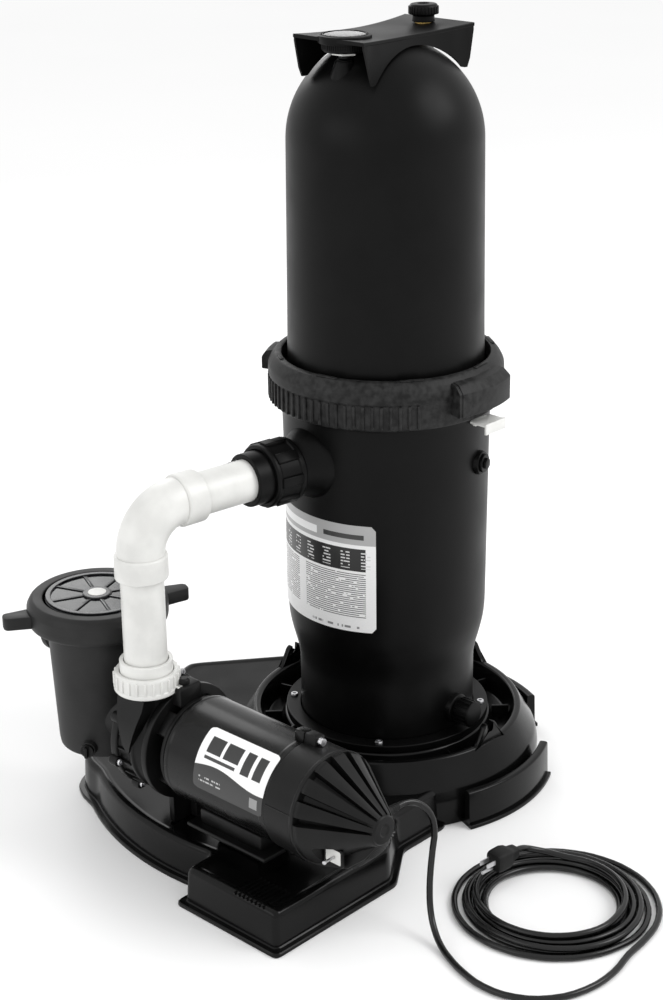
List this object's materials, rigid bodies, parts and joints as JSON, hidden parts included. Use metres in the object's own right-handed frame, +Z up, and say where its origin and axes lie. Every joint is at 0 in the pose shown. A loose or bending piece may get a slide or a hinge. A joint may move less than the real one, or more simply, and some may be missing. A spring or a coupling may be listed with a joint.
{
  "type": "pool pump and filter",
  "caption": "Pool pump with strainer pot and finned motor, piped to an upright cartridge filter tank on one moulded base, with a coiled mains cord.",
  "frame": {"origin": "on the floor, under the middle of the footprint of the base, pump and strainer handles", "axes": "+Z up, +X along the motor shaft towards its finned end, +Y from the pump towards the tank"},
  "size_m": [0.9987, 0.7744, 1.137],
  "materials": {
    "satin_black": "satin injection-moulded black plastic",
    "gloss_black": "glossy black moulded plastic",
    "ribbed_grey": "dark grey textured glass-filled plastic",
    "white_pvc": "white rigid PVC",
    "motor_paint": "black enamelled steel",
    "rubber": "black rubber and flexible PVC",
    "steel": "bright stainless or plated steel",
    "brass": "turned brass",
    "cast_iron": "laminated steel core",
    "smoky_clear": "smoke-tinted clear polycarbonate",
    "pleat_white": "white spun polyester filter pleats",
    "blue_cap": "cast blue polyurethane end cap",
    "copper": "lacquered copper winding"
  },
  "bodies": {
    "root": {"base_platform": "gloss_black", "tank_foot_ring": "satin_black", "tank_body": "satin_black", "body_o_ring": "rubber", "tank_side_plug": "satin_black", "drain_cap_seal": "rubber", "inlet_union_seal": "rubber", "inlet_union_tail": "ribbed_grey", "pipe_horizontal": "white_pvc", "pipe_elbow": "white_pvc", "pipe_vertical": "white_pvc", "discharge_union_seal": "rubber", "discharge_union_tail": "white_pvc", "strainer_pot": "satin_black", "volute": "satin_black", "motor_bracket": "satin_black", "shaft_seal": "steel", "motor_shell": "motor_paint", "motor_rear_cover": "satin_black", "stator": "copper", "front_bearing": "steel", "rear_bearing": "steel", "through_bolt_1": "steel", "through_bolt_2": "steel", "motor_foot": "ribbed_grey", "switch_plate": "white_pvc", "cord_strain_relief": "rubber", "cord_lead": "rubber", "cord_coil": "rubber", "plug_body": "rubber", "plug_blade_1": "steel", "plug_blade_2": "steel", "plug_ground_pin": "steel"},
    "lid": {"tank_lid": "satin_black", "top_cover": "satin_black", "gauge_body": "satin_black", "gauge_collar": "white_pvc", "gauge_lens": "smoky_clear", "air_relief_body": "brass"},
    "lock_ring_body": {"lock_ring": "ribbed_grey"},
    "latch": {"lock_latch": "white_pvc"},
    "cartridge": {"cartridge_pleats": "pleat_white", "cartridge_core": "satin_black", "cartridge_top_cap": "blue_cap", "cartridge_bottom_cap": "blue_cap"},
    "needle": {"gauge_needle": "satin_black"},
    "relief_knob": {"air_relief_knob": "satin_black"},
    "drain_cap_body": {"drain_cap": "satin_black"},
    "inlet_nut": {"inlet_union_nut": "satin_black"},
    "discharge_nut": {"discharge_union_nut": "white_pvc"},
    "strainer_cover": {"strainer_lid": "smoky_clear", "strainer_lid_o_ring": "rubber"},
    "strainer_ring": {"strainer_lock_ring": "satin_black"},
    "basket": {"strainer_basket": "white_pvc"},
    "pot_plug": {"pot_drain_plug": "satin_black"},
    "rotor": {"impeller": "gloss_black", "rotor_core": "cast_iron", "rotor_shaft": "steel", "cooling_fan": "ribbed_grey"},
    "toggle": {"switch_lever": "steel"}
  },
  "joints": [
    {"name": "lid_lift", "type": "slide", "parent": "root", "child": "lid", "axis": [0, 0, 1], "range_m": [0, 0.45]},
    {"name": "lock_ring_turn", "type": "hinge", "parent": "lid", "child": "lock_ring_body", "pos_m": [0.0215, 0.13041, 0.62], "axis": [0, 0, 1], "range_deg": [0, 90]},
    {"name": "cartridge_lift", "type": "slide", "parent": "root", "child": "cartridge", "axis": [0, 0, 1], "range_m": [0, 0.225]},
    {"name": "latch_press", "type": "hinge", "parent": "root", "child": "latch", "pos_m": [0.1785, 0.15241, 0.58], "axis": [0, 1, 0], "range_deg": [0, 8], "stiffness_Nm_per_rad": 2},
    {"name": "gauge_needle_sweep", "type": "hinge", "parent": "lid", "child": "needle", "pos_m": [0.0215, 0.05041, 1.108], "axis": [0, 0, 1], "range_deg": [-270, 0]},
    {"name": "air_relief_turn", "type": "hinge", "parent": "lid", "child": "relief_knob", "pos_m": [0.0215, 0.21041, 1.12], "axis": [0, 0, 1], "range_deg": [0, 720]},
    {"name": "drain_cap_turn", "type": "hinge", "parent": "root", "child": "drain_cap_body", "pos_m": [0.17641, 0.13582, 0.125], "axis": [0.9994, 0.0349, 0], "range_deg": [0, 1080]},
    {"name": "inlet_union_turn", "type": "hinge", "parent": "root", "child": "inlet_nut", "pos_m": [-0.00697, -0.07361, 0.52], "axis": [-0.1382, -0.9904, 0], "range_deg": [0, 900]},
    {"name": "discharge_union_turn", "type": "hinge", "parent": "root", "child": "discharge_nut", "pos_m": [-0.0385, -0.29959, 0.272], "axis": [0, 0, 1], "range_deg": [0, 900]},
    {"name": "strainer_cover_lift", "type": "slide", "parent": "root", "child": "strainer_cover", "axis": [0, 0, 1], "range_m": [0, 0.14]},
    {"name": "strainer_ring_turn", "type": "hinge", "parent": "strainer_cover", "child": "strainer_ring", "pos_m": [-0.1825, -0.26059, 0.33], "axis": [0, 0, 1], "range_deg": [0, 60]},
    {"name": "basket_lift", "type": "slide", "parent": "root", "child": "basket", "axis": [0, 0, 1], "range_m": [0, 0.07]},
    {"name": "pot_drain_turn", "type": "hinge", "parent": "root", "child": "pot_plug", "pos_m": [-0.1425, -0.32987, 0.132], "axis": [0.5, -0.866, 0], "range_deg": [0, 1080]},
    {"name": "rotor_spin", "type": "hinge", "parent": "root", "child": "rotor", "pos_m": [0.1215, -0.26059, 0.174], "axis": [1, 0, 0], "continuous": true},
    {"name": "switch_toggle", "type": "hinge", "parent": "root", "child": "toggle", "pos_m": [0.3135, -0.30119, 0.132], "axis": [1, 0, 0], "range_deg": [-12, 12]}
  ],
  "couplings": [
    {"joint": "cartridge_lift", "follows": "lid_lift", "ratio": 0.5},
    {"joint": "basket_lift", "follows": "strainer_cover_lift", "ratio": 0.5}
  ]
}
